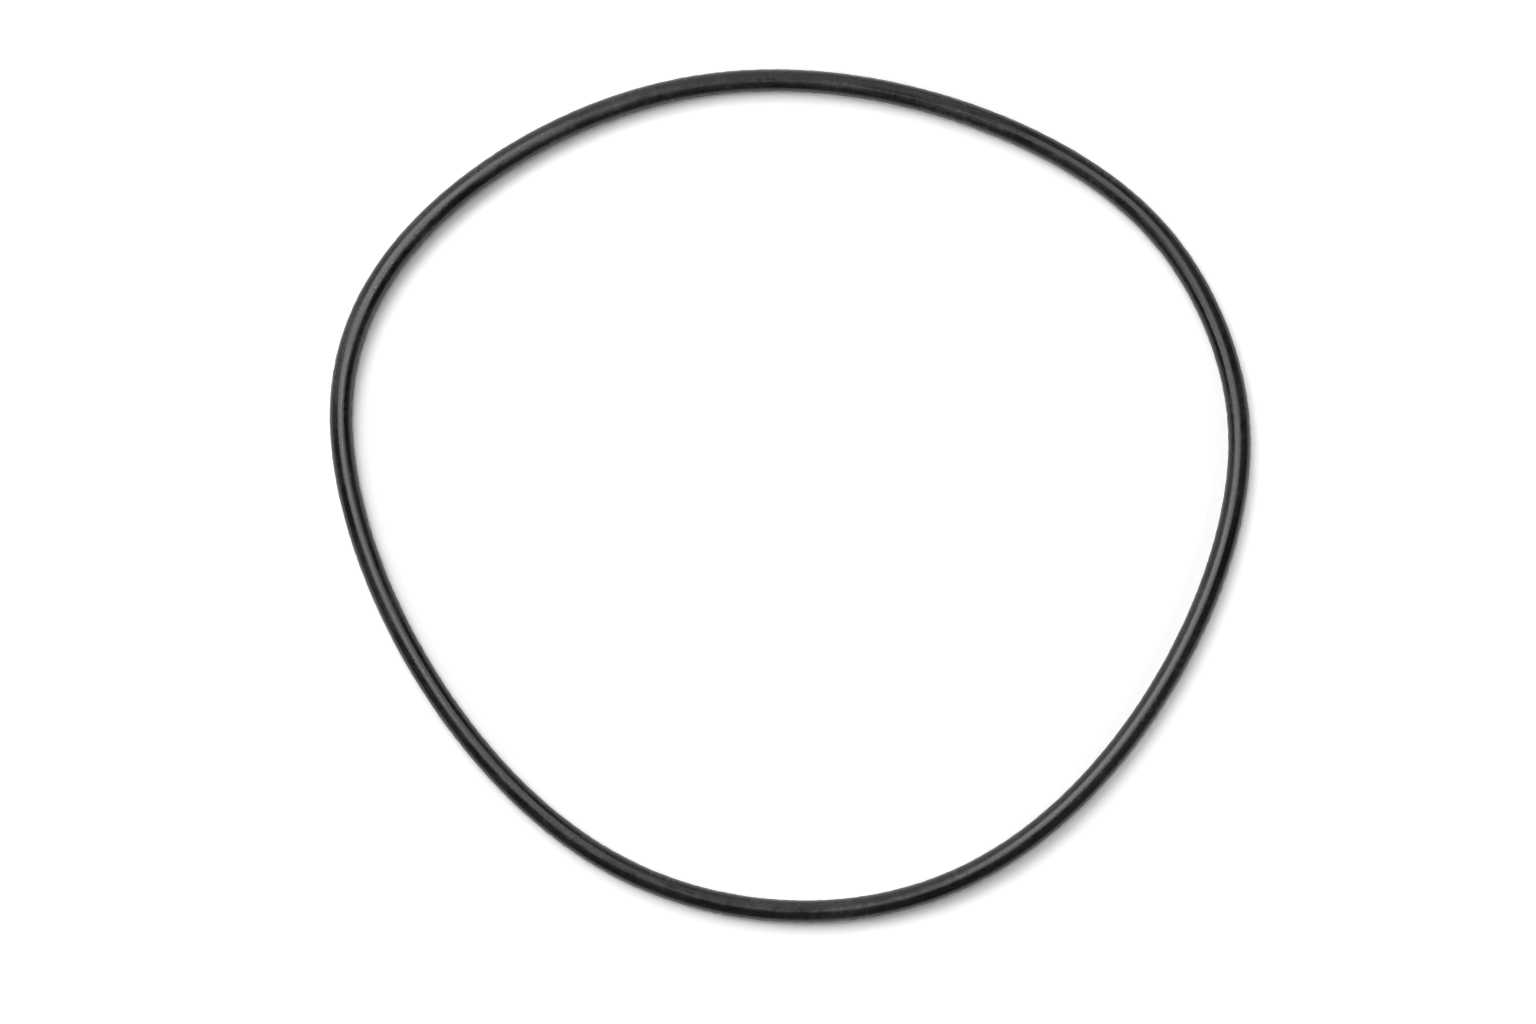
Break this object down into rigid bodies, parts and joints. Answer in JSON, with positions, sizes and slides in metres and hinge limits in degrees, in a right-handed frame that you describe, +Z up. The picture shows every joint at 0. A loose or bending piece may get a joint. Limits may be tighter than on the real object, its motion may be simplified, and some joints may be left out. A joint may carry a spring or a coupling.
{
  "type": "oil pump seal ring",
  "caption": "Round-section rubber seal ring for an oil pump housing, lying loose and slightly out of round on a flat surface.",
  "frame": {"origin": "middle of the ring's outline as it lies, on the surface that it rests on", "axes": "+Z up from that surface; +X along the longer way across the ring as it lies, +Y along the shorter way"},
  "size_m": [0.1494, 0.1386, 0.0035],
  "materials": {
    "rubber": "satin black moulded nitrile rubber"
  },
  "bodies": {
    "root": {"seal": "rubber"}
  },
  "joints": []
}
